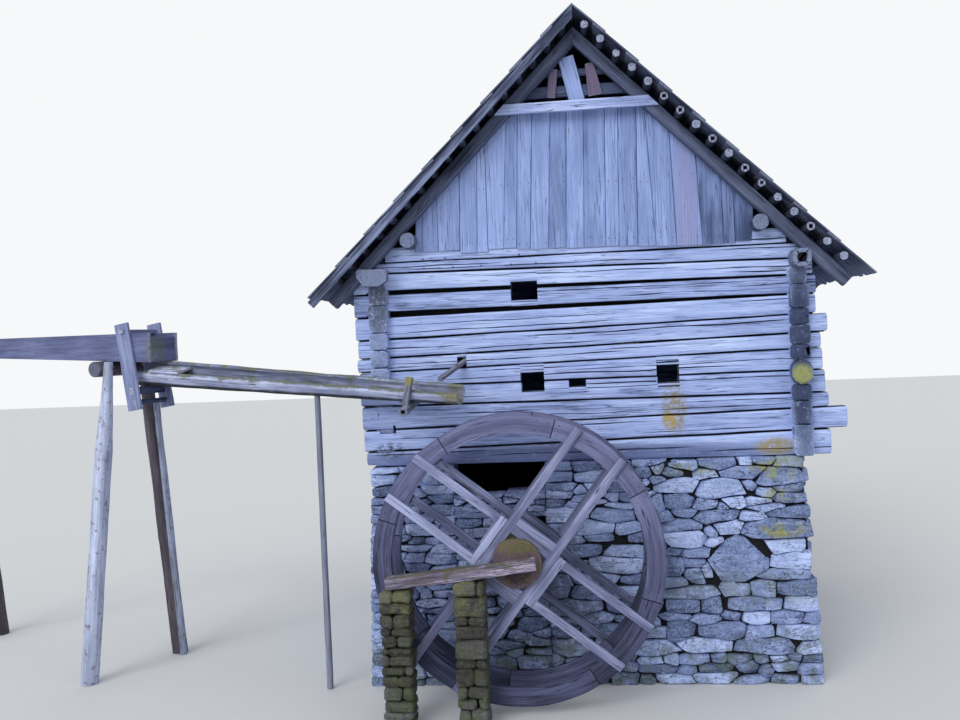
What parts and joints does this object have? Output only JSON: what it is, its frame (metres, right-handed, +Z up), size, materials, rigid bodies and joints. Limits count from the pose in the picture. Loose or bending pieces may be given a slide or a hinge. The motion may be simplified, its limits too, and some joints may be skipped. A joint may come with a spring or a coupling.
{
  "type": "derelict log watermill with an open overshot wheel and a flume",
  "caption": "Small log mill house with a steep gable on a dry-stone base, an open clasp-arm water wheel that turns, and a wooden flume on legs.",
  "frame": {"origin": "on the underside of the front base wall, under the face of the gable logs, midway along the wall, at the lowest ground level", "axes": "+X to the right along the gable wall as seen from the front, +Y into the house, +Z up"},
  "size_m": [11.6329, 6.49, 7.0784],
  "materials": {
    "field_stone": "rough split field stone with lichen",
    "slab_stone": "thin split slab",
    "silver_log": "hewn and silvered by weather",
    "silver_board": "sawn board silvered by weather",
    "red_board": "old board, still brown",
    "roof_shake": "split shakes, grey",
    "roof_timber": "round and hewn timber in the shade of the roof",
    "inside_wood": "dry timber indoors",
    "mossy_wood": "rotten log with moss",
    "wheel_wood": "larch, grey brown",
    "peeled_pole": "peeled pole"
  },
  "bodies": {
    "mill": {"base_front_left": "field_stone", "base_front_right": "field_stone", "shaft_wall": "field_stone", "shaft_lintel": "slab_stone", "opening_sill": "slab_stone", "base_left_wall": "field_stone", "base_right_wall": "field_stone", "base_back_wall": "field_stone", "front_log_wall": "silver_log", "lower_window_log": "silver_log", "upper_window_log": "silver_log", "back_log_wall": "silver_log", "left_log_wall": "silver_log", "right_log_wall": "silver_log", "door_jambs": "inside_wood", "floor_joists": "inside_wood", "floor_boards": "inside_wood", "eave_plates": "roof_timber", "upper_purlins": "roof_timber", "left_rafters": "roof_timber", "right_rafters": "roof_timber", "collar_beams": "silver_board", "front_gable_boards": "silver_board", "back_gable_boards": "silver_board", "gable_rails": "silver_board", "loose_gable_boards": "red_board", "roof_battens": "roof_timber", "left_roof_shakes": "roof_shake", "right_roof_shakes": "roof_shake", "verge_boards": "roof_shake", "bearing_beam": "mossy_wood", "bearing_piers": "field_stone", "inner_bearing": "inside_wood", "trough": "mossy_wood", "trough_bearer": "peeled_pole", "trough_props": "peeled_pole", "control_pole": "peeled_pole", "channel": "silver_board", "channel_trestles": "peeled_pole", "channel_clamp": "silver_board"},
    "wheel": {"wheel_front_ring": "wheel_wood", "wheel_rear_ring": "wheel_wood", "wheel_front_arms": "wheel_wood", "wheel_rear_arms": "wheel_wood", "wheel_shaft": "mossy_wood"}
  },
  "joints": [
    {"name": "wheel_spin", "type": "hinge", "parent": "mill", "child": "wheel", "pos_m": [-0.741, -0.65, 1.52], "axis": [0, 1, 0], "continuous": true}
  ]
}
